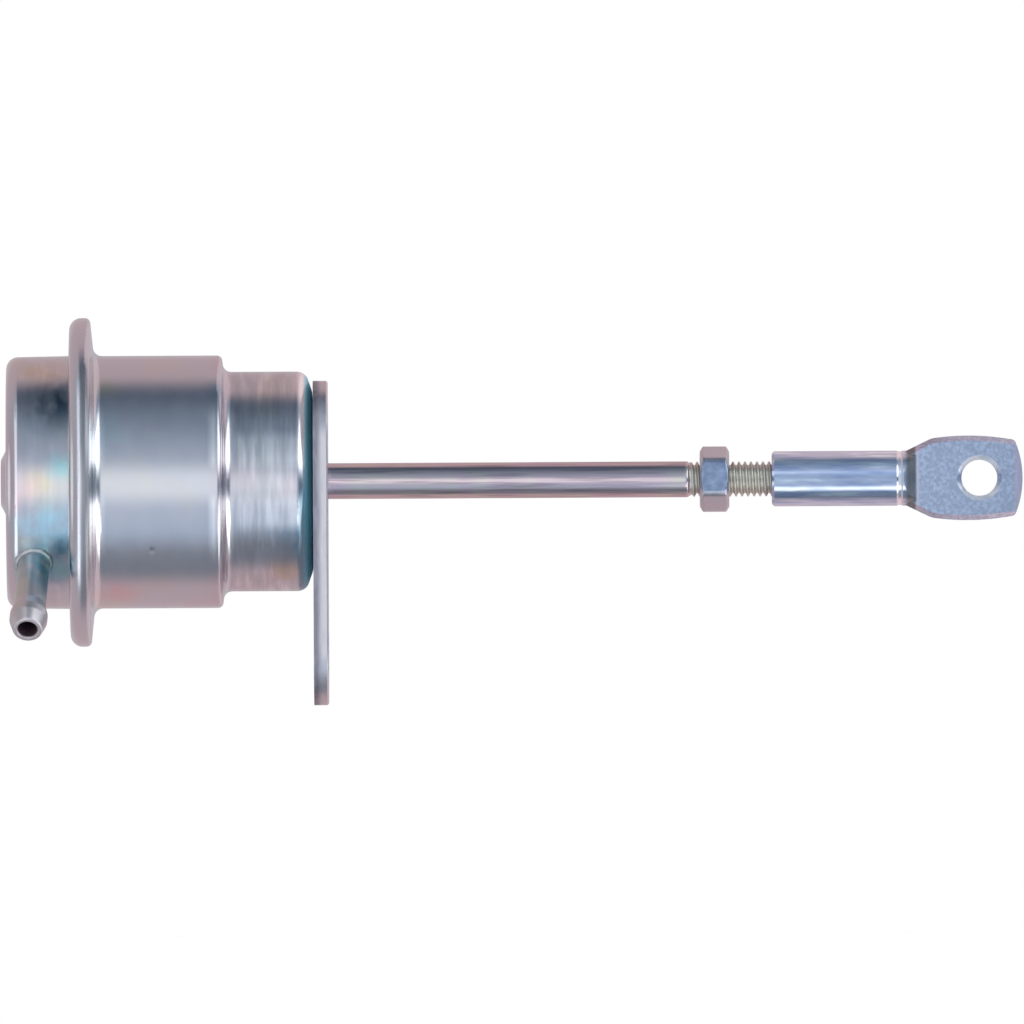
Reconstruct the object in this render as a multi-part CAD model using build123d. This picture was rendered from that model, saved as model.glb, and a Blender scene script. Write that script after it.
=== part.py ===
from build123d import *
from math import cos, radians, sin, sqrt, tan
import os

# Wastegate actuator: a crimped two-part canister on a flat bracket, and the rod that its diaphragm
# pushes out. Sizes are millimetres. X runs along the rod towards its eye and Z points up. The origin
# lies on the bracket's mounting face, midway between its two bolt holes.

# Bracket plate
bracket_thickness = 2.4
axis_height = 28.5  # the bolt holes up to the canister's axis
bracket_top = 16.7  # the canister's axis up to the plate's top edge
bracket_top_corner = 9.0
bolt_spacing = 20.0
bolt_hole_radius = 3.3
bolt_edge = 8.8  # a bolt hole's centre out to the plate's edges
bracket_rod_hole_radius = 5.5
bracket_edge_break = 0.2
weld_gap = 0.1  # the projections, flattened by the weld, hold the plate this far off the housing
weld_radius = 1.5
weld_dimple_depth = 0.8
weld_inset = 3.4  # the projections' centres in from the edge of the housing's flat front
weld_count = 4
weld_start_angle = 45.0

# Front housing, drawn in two steps
housing_wall = 1.2
front_length = 14.75
front_shoulder_length = 1.2
front_shoulder_height = 3.4
front_shoulder_bend = 2.0
front_face_bend = 3.0
front_hole_radius = 4.2
step_slant = 0.35
step_inner_bend = 1.4
step_outer_bend = 0.9
step_height = 2.75
body_radius = 21.05
body_length = 21.65
flange_bend = 1.5

# Rim that is rolled over the cover's flange
rim_width = 6.35  # the body's wall out to the rim's edge
rim_rear_bend = 2.0
rim_front_bend = 0.9
rim_thinning = 0.65  # rolling thins the flange by this much towards its rim
lip_thinning = 0.2
rim_clearance = 0.1  # the cover's flange and the diaphragm to the rolled rim
lip_gap = 0.5  # the rolled lip stops this far from the cover's wall

# Rear cover
cover_wall = 1.2
cover_oversize = 0.05  # the cover's wall stands this far outside the body's
cover_depth = 10.4  # the rolled lip back to the cover's rear face
cover_taper = 0.2  # the wall draws in by this much towards the rear
cover_bend = 2.0
cover_flange_bend = 0.4
boss_height = 1.0
boss_base_radius = 5.7
boss_top_radius = 3.75
boss_bend = 0.4

# Hose nipple, brazed into the cover's side
nipple_setback = 4.6  # the cover's rear face forward to the nipple's axis
nipple_down_angle = 40.0  # degrees below level, towards -Y
nipple_lean_angle = 3.3  # degrees towards the rear
nipple_radius = 2.65
nipple_bore_radius = 1.575
nipple_reach = 17.0  # the cover's wall out to the nipple's mouth
nipple_inside = 1.0  # how far the nipple stands inside the cover's wall
barb_radius = 3.15
barb_lead_length = 2.3
barb_land_length = 1.5
barb_rise_length = 2.0
barb_mouth_radius = 2.45
barb_bore_chamfer = 0.25
braze_size = 0.45

# Diaphragm with its rolling fold
diaphragm_thickness = 0.6
fold_clearance = 0.15  # the rubber's running room beside the housing and the piston
fold_width = 3.95
fold_flat = 0.05  # what the fold's crest keeps flat on each side of its middle
fold_reach = 5.9  # the flange forward to the fold's crest at rest

# Piston, clamp plate and rivet washer on the rod's tail
piston_wall = 1.0
piston_bend = 2.0
piston_skirt_length = 13.9
tail_hole_clearance = 0.1
plate_wall = 1.0
plate_inset = 2.6  # the piston's edge in to the plate's
plate_bend = 1.5
plate_rim_length = 2.6
plate_rest_gap = 0.7  # the plate's rim to the cover's inner face at rest
washer_radius = 5.0
washer_thickness = 1.0
rivet_radius = 3.6
rivet_height = 0.9

# Rod
rod_radius = 3.0
tail_radius = 2.25
collar_radius = 5.0
collar_thickness = 1.5
thread_start = 60.3
thread_radius = 2.95
thread_runout = 0.4
thread_end_chamfer = 0.6
thread_clearance = 0.05

# Self-aligning guide at the housing's front
guide_ball_radius = 5.0
guide_half_length = 3.4
guide_front_gap = 0.3
running_fit = 0.05
guide_cup_wall = 0.8
guide_cup_flange_gap = 0.2  # the cup's flange to the spring seat's lip
guide_cup_rear_span = 3.2  # the guide's centre back to the end of the cup's round seat

# Return spring and its seat
spring_gap = 1.5  # the spring to the piston's skirt
spring_wire_radius = 1.2
spring_turns = 7.0
seat_wall = 0.8
seat_margin = 0.2  # the seat's edge outside the spring
seat_lip_length = 3.4
seat_bend = 1.0
seat_clearance = 0.2

# Jam nut
nut_start = 62.0
nut_thickness = 4.9
nut_across_flats = 10.0
nut_corner_radius = 5.47  # the hexagon's corners are rounded off to this
nut_face_radius = 4.6
nut_chamfer_angle = 30.0
nut_bore_chamfer = 0.3
nut_turn = -6.0  # degrees that the nut stands turned round the rod

# Rod end, forged flat round its eye
sleeve_start = 74.0
sleeve_length = 22.0
sleeve_radius = 4.6
sleeve_chamfer = 0.4
groove_setback = 1.2  # the ramp's start back to the die's groove
groove_length = 1.0
groove_depth = 0.12
groove_slant = 0.25
thread_grip = 14.0  # the rod's length inside the sleeve
thread_hole_spare = 3.0
drill_half_angle = 59.0
eye_distance = 12.6  # the sleeve's end to the eye's centre
eye_radius = 3.0
eye_chamfer = 0.7
eye_thickness = 5.0
eye_bevel_width = 0.85
eye_bevel_depth = 1.1
eye_half_width = 7.05
shoulder_half_width = 6.6
shoulder_setback = 8.0  # the eye's centre back to the flat's full width
crown_setback = 1.8
end_half_width = 6.3
end_corner_reach = 5.9
end_reach = 7.2
end_corner_fillet = 0.9
shoulder_fillet = 4.0
neck_angle = 26.0

# Places that follow from the sizes
front_radius = body_radius - step_height
rim_radius = body_radius + rim_width
cover_radius = body_radius + cover_oversize
piston_radius = body_radius - housing_wall - fold_width - 2 * fold_clearance
plate_radius = piston_radius - plate_inset
spring_radius = piston_radius - piston_wall - spring_gap - spring_wire_radius
seat_radius = spring_radius + spring_wire_radius + seat_margin
seat_lip_radius = spring_radius - spring_wire_radius - seat_clearance - seat_wall
guide_cup_flange_radius = seat_lip_radius - guide_cup_flange_gap
weld_circle_radius = front_radius - front_shoulder_height - weld_inset
front_x = -(bracket_thickness + weld_gap)
step_x = front_x - front_length
flange_x = step_x - body_length
flange_back_x = flange_x - housing_wall
cover_flange_x = flange_back_x - diaphragm_thickness
lip_front_x = cover_flange_x - cover_wall
lip_x = lip_front_x - housing_wall
rear_x = lip_x - cover_depth
front_inner_x = front_x - housing_wall
cover_inner_x = rear_x + cover_wall
pivot_x = front_inner_x - guide_front_gap - guide_half_length
plate_rim_x = cover_inner_x + plate_rest_gap
plate_x = plate_rim_x + plate_rim_length
piston_x = plate_x + diaphragm_thickness
shoulder_x = piston_x + piston_wall
fold_x = flange_back_x + fold_reach
rod_end_x = sleeve_start + thread_grip
sleeve_end_x = sleeve_start + sleeve_length
eye_x = sleeve_end_x + eye_distance
bracket_half_width = bolt_spacing / 2 + bolt_edge


def parallel_corners(points, wall):
    """Return the corners of the line that runs beside the given one, a wall to its right."""
    sides = [(Vector(*end) - Vector(*start)).normalized() for start, end in zip(points, points[1:])]
    normals = [Vector(side.Y, -side.X) for side in sides]
    corners = [Vector(*points[0]) + normals[0] * wall]
    for point, before, after in zip(points[1:-1], normals, normals[1:]):
        corners.append(Vector(*point) + (before + after) * (wall / (1 + before.dot(after))))
    corners.append(Vector(*points[-1]) + normals[-1] * wall)
    return [(corner.X, corner.Y) for corner in corners]


def parallel_bends(points, bends, wall):
    """Return the bend radii of the line a wall to the right: tighter where the line turns right."""
    radii = []
    for start, corner, end, bend in zip(points, points[1:], points[2:], bends):
        turn = (Vector(*corner) - Vector(*start)).cross(Vector(*end) - Vector(*corner)).Z
        radii.append(bend + wall if turn > 0 else max(bend - wall, 0))
    return radii


def turned(outline):
    """Return the solid that a closed outline of distances along X and radii sweeps round X."""
    return revolve(Plane.XZ * make_face(outline), Axis.X)


def pressed(points, bends, wall):
    """Return a round pressing: one face runs through the points, the other a wall to its right."""
    far_points = parallel_corners(points, wall)
    far_bends = parallel_bends(points, bends, wall)
    radii = [0, *bends, 0, 0, *reversed(far_bends), 0]
    return turned(FilletPolyline(*points, *reversed(far_points), radius=radii, close=True))


def on_axis(piece):
    """Return a piece made round X, lifted from the origin to the canister's axis."""
    return Pos(0, 0, axis_height) * piece


def make_front_housing():
    """Return the stepped can, with its rim rolled over the cover's flange."""
    points = [
        (lip_x, cover_radius + lip_gap),
        (lip_x + lip_thinning, rim_radius),
        (flange_x - rim_thinning, rim_radius),
        (flange_x, body_radius),
        (step_x - step_slant, body_radius),
        (step_x, front_radius),
        (front_x - front_shoulder_length, front_radius),
        (front_x, front_radius - front_shoulder_height),
        (front_x, front_hole_radius),
    ]
    bends = [
        rim_rear_bend,
        rim_front_bend,
        flange_bend,
        step_outer_bend,
        step_inner_bend,
        front_shoulder_bend,
        front_face_bend,
    ]
    far_points = parallel_corners(points, housing_wall)
    far_bends = parallel_bends(points, bends, housing_wall)
    # The rim is rolled tight round the cover's square edge. The faces on the inside of the roll
    # stay flat, and the rolling thins the flange and the lip from outside.
    far_bends[0] = 0
    far_points[0] = (lip_front_x, cover_radius + lip_gap)
    far_points[1] = (lip_front_x, rim_radius - housing_wall)
    far_points[2] = (flange_back_x, rim_radius - housing_wall)
    far_points[3] = (flange_back_x, body_radius - housing_wall)
    radii = [0, *bends, 0, 0, *reversed(far_bends), 0]
    return on_axis(turned(FilletPolyline(*points, *reversed(far_points), radius=radii, close=True)))


def nipple_axis():
    """Return the plane at the canister's axis whose normal points along the nipple."""
    level = cos(radians(nipple_lean_angle))
    along = Vector(
        -sin(radians(nipple_lean_angle)),
        -cos(radians(nipple_down_angle)) * level,
        -sin(radians(nipple_down_angle)) * level,
    )
    base_x = rear_x + nipple_setback + cover_radius * tan(radians(nipple_lean_angle))
    return Plane(origin=(base_x, 0, axis_height), x_dir=(1, 0, 0), z_dir=along)


def make_rear_cover():
    """Return the cup that closes the canister, with its pressed boss and its nipple hole."""
    points = [
        (rear_x - boss_height, 0),
        (rear_x - boss_height, boss_top_radius),
        (rear_x, boss_base_radius),
        (rear_x, cover_radius - cover_taper),
        (lip_front_x, cover_radius),
        (lip_front_x, rim_radius - housing_wall - rim_clearance),
    ]
    bends = [boss_bend, boss_bend, cover_bend, cover_flange_bend]
    cup = on_axis(pressed(points, bends, cover_wall))
    hole = extrude(nipple_axis() * Circle(nipple_radius), cover_radius + cover_wall)
    return cup - hole


def make_hose_nipple():
    """Return the barbed tube, with the braze that runs round its foot."""
    mouth = cover_radius + nipple_reach
    land_end = mouth - barb_lead_length
    land_start = land_end - barb_land_length
    inner_end = cover_radius - cover_wall - nipple_inside
    foot = nipple_radius + braze_size
    profile = Polyline(
        (nipple_bore_radius, inner_end),
        (nipple_radius, inner_end),
        (nipple_radius, land_start - barb_rise_length),
        (barb_radius, land_start),
        (barb_radius, land_end),
        (barb_mouth_radius, mouth),
        (nipple_bore_radius + barb_bore_chamfer, mouth),
        (nipple_bore_radius, mouth - barb_bore_chamfer),
        close=True,
    )
    tube = nipple_axis() * revolve(Plane.XZ * make_face(profile), Axis.Z)
    braze_top = cover_radius + braze_size
    braze_start = cover_radius - cover_wall / 2
    braze_edge = Curve() + [
        Line((nipple_radius, braze_top), (nipple_radius, braze_start)),
        Line((nipple_radius, braze_start), (foot, braze_start)),
        Line((foot, braze_start), (foot, cover_radius)),
        RadiusArc((foot, cover_radius), (nipple_radius, braze_top), -braze_size),
    ]
    braze = nipple_axis() * revolve(Plane.XZ * make_face(braze_edge), Axis.Z)
    cover = turned(
        Polyline(
            (rear_x, 0),
            (rear_x, cover_radius - cover_taper),
            (lip_front_x, cover_radius),
            (lip_front_x, 0),
            close=True,
        )
    )
    return tube + (braze - on_axis(cover))


def make_bracket():
    """Return the flat plate with its bolt holes, its rod hole and its welded projections."""
    height = axis_height + bracket_top + bolt_edge
    blank = Pos(0, height / 2 - bolt_edge) * Rectangle(2 * bracket_half_width, height)
    top_corners = blank.vertices().group_by(Axis.Y)[-1]
    blank = fillet(top_corners, bracket_top_corner)
    blank = fillet(blank.vertices().group_by(Axis.Y)[0], bolt_edge)
    blank -= GridLocations(bolt_spacing, 0, 2, 1) * Circle(bolt_hole_radius)
    blank -= Pos(0, axis_height) * Circle(bracket_rod_hole_radius)
    plate = extrude(Plane.YZ * blank, -bracket_thickness)
    plate = chamfer(plate.faces().sort_by(Axis.X)[-1].outer_wire().edges(), bracket_edge_break)
    ring = PolarLocations(weld_circle_radius, weld_count, weld_start_angle)
    spots = Pos(0, axis_height) * (Sketch() + ring * Circle(weld_radius))
    projections = extrude(Plane.YZ.offset(-bracket_thickness) * spots, -weld_gap)
    dimples = extrude(Plane.YZ * spots, -weld_dimple_depth)
    return plate + projections - dimples


def make_diaphragm():
    """Return the rubber diaphragm: clamped rim, rolling fold and the flat that the plate clamps."""
    points = [
        (flange_back_x, rim_radius - housing_wall - rim_clearance),
        (flange_back_x, body_radius - housing_wall - fold_clearance),
        (fold_x, body_radius - housing_wall - fold_clearance),
        (fold_x, piston_radius + fold_clearance),
        (piston_x, piston_radius + fold_clearance),
        (piston_x, tail_radius + tail_hole_clearance),
    ]
    fold_bend = fold_width / 2 - fold_flat
    bends = [
        flange_bend + housing_wall + fold_clearance,
        fold_bend,
        fold_bend,
        piston_bend + fold_clearance,
    ]
    return on_axis(pressed(points, bends, diaphragm_thickness))


def make_piston():
    """Return the cup that carries the diaphragm and holds the spring's rear end."""
    points = [
        (piston_x, tail_radius + tail_hole_clearance),
        (piston_x, piston_radius),
        (piston_x + piston_skirt_length, piston_radius),
    ]
    return on_axis(pressed(points, [piston_bend], piston_wall))


def make_clamp_plate():
    """Return the dished plate that clamps the diaphragm from the pressure side."""
    points = [
        (plate_rim_x, plate_radius),
        (plate_x, plate_radius),
        (plate_x, tail_radius + tail_hole_clearance),
    ]
    return on_axis(pressed(points, [plate_bend], plate_wall))


def make_rivet_washer():
    """Return the washer under the rod's riveted tail."""
    washer = Cylinder(washer_radius, washer_thickness) - Cylinder(
        tail_radius + tail_hole_clearance, washer_thickness
    )
    return on_axis(Pos(plate_x - plate_wall - washer_thickness / 2, 0, 0) * Rot(0, 90, 0) * washer)


def make_rod():
    """Return the rod: riveted tail, collar, plain shank and the stretch that is threaded."""
    rivet_x = plate_x - plate_wall - washer_thickness
    profile = Curve() + [
        Line((rivet_x - rivet_height, 0), (rivet_x - rivet_height, rivet_radius - rivet_height)),
        RadiusArc(
            (rivet_x - rivet_height, rivet_radius - rivet_height),
            (rivet_x, rivet_radius),
            rivet_height,
        ),
        Polyline(
            (rivet_x, rivet_radius),
            (rivet_x, tail_radius),
            (shoulder_x, tail_radius),
            (shoulder_x, collar_radius),
            (shoulder_x + collar_thickness, collar_radius),
            (shoulder_x + collar_thickness, rod_radius),
            (thread_start, rod_radius),
            (thread_start + thread_runout, thread_radius),
            (rod_end_x - thread_end_chamfer, thread_radius),
            (rod_end_x, thread_radius - thread_end_chamfer),
            (rod_end_x, 0),
            (rivet_x - rivet_height, 0),
        ),
    ]
    return on_axis(turned(profile))


def make_guide_bush():
    """Return the round-backed bush that the rod slides in and tilts with."""
    bush = Sphere(guide_ball_radius) & Cylinder(guide_ball_radius, 2 * guide_half_length)
    bush -= Cylinder(rod_radius + running_fit, 2 * guide_half_length)
    return on_axis(Pos(pivot_x, 0, 0) * Rot(0, 90, 0) * bush)


def make_guide_cup():
    """Return the flanged cup that holds the bush against the housing's front."""
    seat_radius_at_ball = guide_ball_radius + running_fit
    mouth_radius = sqrt(seat_radius_at_ball**2 - guide_cup_rear_span**2)
    seat_end_x = pivot_x - guide_cup_rear_span
    cup_rear_x = seat_end_x - guide_cup_wall
    cup_radius = seat_radius_at_ball + guide_cup_wall
    profile = Curve() + [
        Line((front_inner_x, seat_radius_at_ball), (pivot_x, seat_radius_at_ball)),
        RadiusArc((pivot_x, seat_radius_at_ball), (seat_end_x, mouth_radius), -seat_radius_at_ball),
        Polyline(
            (seat_end_x, mouth_radius),
            (cup_rear_x, mouth_radius),
            (cup_rear_x, cup_radius),
            (front_inner_x - guide_cup_wall, cup_radius),
            (front_inner_x - guide_cup_wall, guide_cup_flange_radius),
            (front_inner_x, guide_cup_flange_radius),
            (front_inner_x, seat_radius_at_ball),
        ),
    ]
    return on_axis(turned(profile))


def make_spring_seat():
    """Return the ring that centres the spring's front end."""
    points = [
        (front_inner_x, seat_radius),
        (front_inner_x, seat_lip_radius),
        (front_inner_x - seat_lip_length, seat_lip_radius),
    ]
    return on_axis(pressed(points, [seat_bend], seat_wall))


def make_return_spring():
    """Return the coil spring, its ends ground flat on the piston and on the seat."""
    start_x = shoulder_x
    length = front_inner_x - seat_wall - start_x
    helix = Helix(pitch=length / spring_turns, height=length, radius=spring_radius)
    wire = Plane(origin=helix @ 0, z_dir=helix % 0) * Circle(spring_wire_radius)
    coil = sweep(wire, path=helix)
    slab = Pos(0, 0, length / 2) * Cylinder(spring_radius + 2 * spring_wire_radius, length)
    return on_axis(Pos(start_x, 0, 0) * Rot(0, 90, 0) * (coil & slab))


def make_jam_nut():
    """Return the hexagon nut, chamfered on both faces."""
    prism = extrude(RegularPolygon(nut_across_flats / sqrt(3), 6), nut_thickness / 2, both=True)
    chamfer_width = nut_corner_radius - nut_face_radius
    chamfer_depth = chamfer_width * tan(radians(nut_chamfer_angle))
    disc = Cylinder(nut_corner_radius, nut_thickness)
    disc = chamfer(disc.edges(), chamfer_depth, chamfer_width)
    hole_radius = thread_radius + thread_clearance
    hole = Cylinder(hole_radius, nut_thickness)
    hole += Pos(0, 0, (nut_thickness - nut_bore_chamfer) / 2) * Cone(
        hole_radius, hole_radius + nut_bore_chamfer, nut_bore_chamfer
    )
    hole += Pos(0, 0, (nut_bore_chamfer - nut_thickness) / 2) * Cone(
        hole_radius + nut_bore_chamfer, hole_radius, nut_bore_chamfer
    )
    nut = (prism & disc) - hole
    place = Pos(nut_start + nut_thickness / 2, 0, 0) * Rot(nut_turn, 0, 0) * Rot(0, 90, 0)
    return on_axis(place * nut)


def make_rod_end():
    """Return the bar end that was forged flat round its eye, with the threaded hole in its sleeve."""
    shoulder = (eye_x - shoulder_setback, shoulder_half_width)
    neck_half_width = sleeve_radius - sleeve_chamfer
    neck = (shoulder[0] - (shoulder_half_width - neck_half_width) / tan(radians(neck_angle)), neck_half_width)
    crown = (eye_x - crown_setback, eye_half_width)
    corner = (eye_x + end_corner_reach, end_half_width)
    outline = Curve() + [
        Line(neck, shoulder),
        ThreePointArc(shoulder, crown, corner),
        ThreePointArc(corner, (eye_x + end_reach, 0), (corner[0], -corner[1])),
        ThreePointArc((corner[0], -corner[1]), (crown[0], -crown[1]), (shoulder[0], -shoulder[1])),
        Line((shoulder[0], -shoulder[1]), (neck[0], -neck[1])),
        Line((neck[0], -neck[1]), neck),
    ]
    flat = make_face(outline)
    across = flat.vertices().sort_by(Axis.X)
    flat = fillet(across[-2:], end_corner_fillet)
    across = flat.vertices().sort_by(Axis.X)
    flat = fillet(across[2:4], shoulder_fillet)
    paddle = extrude(Plane.XZ * flat, eye_thickness / 2, both=True)
    rims = paddle.edges().filter_by(lambda edge: abs(edge.center().Y) > eye_thickness / 2 - eye_chamfer)
    paddle = chamfer(rims.sort_by(Axis.X)[2:], eye_bevel_depth, eye_bevel_width)
    ramp_end = sleeve_end_x + sleeve_radius - eye_thickness / 2
    side = Polyline(
        (sleeve_start, sleeve_radius),
        (sleeve_end_x, sleeve_radius),
        (ramp_end, eye_thickness / 2),
        (ramp_end, -eye_thickness / 2),
        (sleeve_end_x, -sleeve_radius),
        (sleeve_start, -sleeve_radius),
        close=True,
    )
    slab = extrude(make_face(side), sleeve_radius, both=True)
    groove_start = sleeve_end_x - groove_setback
    groove_end = groove_start + groove_length
    groove_radius = sleeve_radius - groove_depth
    bar = turned(
        Polyline(
            (sleeve_start, 0),
            (sleeve_start, sleeve_radius - sleeve_chamfer),
            (sleeve_start + sleeve_chamfer, sleeve_radius),
            (groove_start, sleeve_radius),
            (groove_start + groove_slant, groove_radius),
            (groove_end - groove_slant, groove_radius),
            (groove_end, sleeve_radius),
            (ramp_end, sleeve_radius),
            (ramp_end, 0),
            close=True,
        )
    )
    hole_end = rod_end_x + thread_hole_spare
    hole_radius = thread_radius + thread_clearance
    hole = turned(
        Polyline(
            (sleeve_start, 0),
            (sleeve_start, hole_radius + sleeve_chamfer),
            (sleeve_start + sleeve_chamfer, hole_radius),
            (hole_end, hole_radius),
            (hole_end + hole_radius / tan(radians(drill_half_angle)), 0),
            close=True,
        )
    )
    eye_profile = Polyline(
        (0, -eye_thickness / 2),
        (eye_radius + eye_chamfer, -eye_thickness / 2),
        (eye_radius, eye_chamfer - eye_thickness / 2),
        (eye_radius, eye_thickness / 2 - eye_chamfer),
        (eye_radius + eye_chamfer, eye_thickness / 2),
        (0, eye_thickness / 2),
        close=True,
    )
    eye = Pos(eye_x, 0, 0) * revolve(make_face(eye_profile), Axis.Y)
    return on_axis((bar & slab) + paddle - hole - eye)


pieces = {
    "front_housing": make_front_housing(),
    "rear_cover": make_rear_cover(),
    "hose_nipple": make_hose_nipple(),
    "bracket": make_bracket(),
    "diaphragm": make_diaphragm(),
    "piston": make_piston(),
    "clamp_plate": make_clamp_plate(),
    "rivet_washer": make_rivet_washer(),
    "rod": make_rod(),
    "guide_bush": make_guide_bush(),
    "guide_cup": make_guide_cup(),
    "spring_seat": make_spring_seat(),
    "return_spring": make_return_spring(),
    "jam_nut": make_jam_nut(),
    "rod_end": make_rod_end(),
}

os.makedirs("parts", exist_ok=True)
for name, piece in pieces.items():
    export_step(piece, f"parts/{name}.step")
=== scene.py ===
import math
from functools import partial

import bmesh
import bpy
import numpy as np
from bpy.props import FloatProperty, FloatVectorProperty, IntProperty, PointerProperty
from mathutils import Matrix, Vector


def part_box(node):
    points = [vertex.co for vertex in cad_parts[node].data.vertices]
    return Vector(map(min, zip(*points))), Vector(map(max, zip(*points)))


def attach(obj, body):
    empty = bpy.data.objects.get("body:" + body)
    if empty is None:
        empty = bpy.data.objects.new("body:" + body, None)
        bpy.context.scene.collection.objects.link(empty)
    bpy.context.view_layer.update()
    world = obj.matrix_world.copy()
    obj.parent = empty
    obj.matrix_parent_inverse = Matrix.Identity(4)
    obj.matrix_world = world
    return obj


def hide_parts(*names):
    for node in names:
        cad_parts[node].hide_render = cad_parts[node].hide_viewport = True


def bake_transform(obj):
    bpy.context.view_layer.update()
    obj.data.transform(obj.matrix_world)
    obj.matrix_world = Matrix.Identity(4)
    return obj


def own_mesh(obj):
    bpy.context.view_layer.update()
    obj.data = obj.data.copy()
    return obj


bl_info = {
    "name": "Wastegate Actuator",
    "version": (1, 0, 0),
    "blender": (4, 5, 0),
    "location": "3D View > Sidebar > Actuator",
    "description": "Dresses a crimped diaphragm canister, its bracket and its threaded rod",
    "category": "Object",
}

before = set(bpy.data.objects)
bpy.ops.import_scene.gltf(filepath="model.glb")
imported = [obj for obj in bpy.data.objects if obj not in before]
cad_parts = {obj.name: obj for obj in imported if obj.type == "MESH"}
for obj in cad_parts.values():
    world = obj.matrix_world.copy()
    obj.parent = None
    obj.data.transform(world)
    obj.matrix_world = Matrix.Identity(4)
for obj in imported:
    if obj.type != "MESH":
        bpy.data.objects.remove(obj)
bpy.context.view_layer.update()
MM = 0.001
AXIS_HEIGHT = 28.5 * MM  # the bolt holes up to the canister's axis
COVER_RADIUS = 21.1 * MM  # the outside of the rear cover's wall
FOLD_MIDDLE = 2.15 * MM  # the piston's side out to the middle of the diaphragm's fold
THREAD_SINK = 0.12 * MM  # how far below its crests the thread starts

# Kinds of node and settings that the trees use again and again
MATH, RANGE, MIX = "ShaderNodeMath", "ShaderNodeMapRange", "ShaderNodeMix"
SPLIT, VECTOR_MATH = "ShaderNodeSeparateXYZ", "ShaderNodeVectorMath"
PLUS, MINUS, TIMES = ({"operation": name} for name in ("ADD", "SUBTRACT", "MULTIPLY"))
TIMES_PLUS, ABSOLUTE = ({"operation": name} for name in ("MULTIPLY_ADD", "ABSOLUTE"))
MOST, LEAST = ({"operation": name} for name in ("MAXIMUM", "MINIMUM"))
SMOOTH = {"interpolation_type": "SMOOTHSTEP"}


# Values and small helpers


def linear(hex_colour):
    """Return a colour written as sRGB hex in the linear values that Blender works in."""
    parts = [int(hex_colour[i : i + 2], 16) / 255 for i in (1, 3, 5)]
    return tuple(p / 12.92 if p <= 0.04045 else ((p + 0.055) / 1.055) ** 2.4 for p in parts)


def length(name, description, millimetres):
    """Return a length property whose default is written in millimetres."""
    return FloatProperty(
        name=name,
        description=description,
        default=millimetres * MM,
        precision=5,
        unit="LENGTH",
        subtype="DISTANCE",
    )


def angle(name, description, degrees):
    """Return an angle property whose default is written in degrees."""
    return FloatProperty(
        name=name, description=description, default=math.radians(degrees), subtype="ANGLE"
    )


def colour(name, description, hex_colour):
    """Return a colour property whose default is written as sRGB hex."""
    return FloatVectorProperty(
        name=name,
        description=description,
        default=linear(hex_colour),
        min=0,
        max=1,
        size=3,
        subtype="COLOR",
    )


def add_node(tree, kind, *inputs, **settings):
    """Add a node, give it its settings and link its inputs.

    The inputs fill its shown sockets in order. A setting is an attribute of the node, or else an
    input's name with _ for a space. An input is a value, a socket, or a node whose first shown
    output is linked. A colour is sRGB hex or three linear numbers, and None leaves a socket be."""
    node = tree.nodes.new(kind)
    for name in [name for name in settings if hasattr(node, name)]:
        setattr(node, name, settings.pop(name))
    shown = [socket for socket in node.inputs if socket.enabled]
    named = [(node.inputs[name.replace("_", " ")], value) for name, value in settings.items()]
    for socket, value in [*zip(shown, inputs), *named]:
        if isinstance(value, bpy.types.Node):
            value = next(output for output in value.outputs if output.enabled)
        if isinstance(value, bpy.types.NodeSocket):
            tree.links.new(value, socket)
        elif value is not None and socket.type == "RGBA":
            socket.default_value = (*(linear(value) if isinstance(value, str) else value), 1)
        elif value is not None:
            socket.default_value = value
    return node


def new_object(name, data):
    """Return a new object with this data, placed in the scene."""
    made = bpy.data.objects.new(name, data)
    bpy.context.scene.collection.objects.link(made)
    return made


def mesh_object(name, points, faces, smooth=True):
    """Return a new mesh object at the origin, its doubles merged and its faces outwards."""
    mesh = bpy.data.meshes.new(name)
    mesh.from_pydata([tuple(p) for p in points], [], [tuple(f) for f in faces])
    made = bmesh.new()
    made.from_mesh(mesh)
    bmesh.ops.remove_doubles(made, verts=made.verts, dist=0.0005 * MM)
    bmesh.ops.dissolve_degenerate(made, edges=made.edges, dist=0.0001 * MM)
    bmesh.ops.recalc_face_normals(made, faces=made.faces)
    made.to_mesh(mesh)
    made.free()
    mesh.polygons.foreach_set("use_smooth", [smooth] * len(mesh.polygons))
    return new_object(name, mesh)


def grid_faces(rows, columns, close_rows=False, close_columns=False):
    """Return the quads of a grid of points stored row by row."""
    return [
        (
            row * columns + column,
            (row + 1) % rows * columns + column,
            (row + 1) % rows * columns + (column + 1) % columns,
            row * columns + (column + 1) % columns,
        )
        for row in range(rows if close_rows else rows - 1)
        for column in range(columns if close_columns else columns - 1)
    ]


def rounded(corners, steps=6):
    """Return the points of a line whose corners, each given as (x, y, bend), are rounded."""
    points = [np.array(corners[0][:2], float)]
    for before, corner, after in zip(corners, corners[1:], corners[2:]):
        here, bend = np.array(corner[:2], float), corner[2]
        back = np.array(before[:2], float) - here
        on = np.array(after[:2], float) - here
        back, on = back / np.linalg.norm(back), on / np.linalg.norm(on)
        half = math.acos(float(np.clip(back @ on, -1, 1))) / 2
        if bend <= 0 or half > math.radians(89.5):
            points.append(here)
            continue
        middle = here + (back + on) / np.linalg.norm(back + on) * (bend / math.sin(half))
        first = here + back * (bend / math.tan(half)) - middle
        last = here + on * (bend / math.tan(half)) - middle
        sweep = math.pi - 2 * half
        for step in range(steps + 1):
            share = step / steps
            at = math.sin((1 - share) * sweep) * first + math.sin(share * sweep) * last
            points.append(middle + at / math.sin(sweep))
    points.append(np.array(corners[-1][:2], float))
    return np.array(points)


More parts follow.
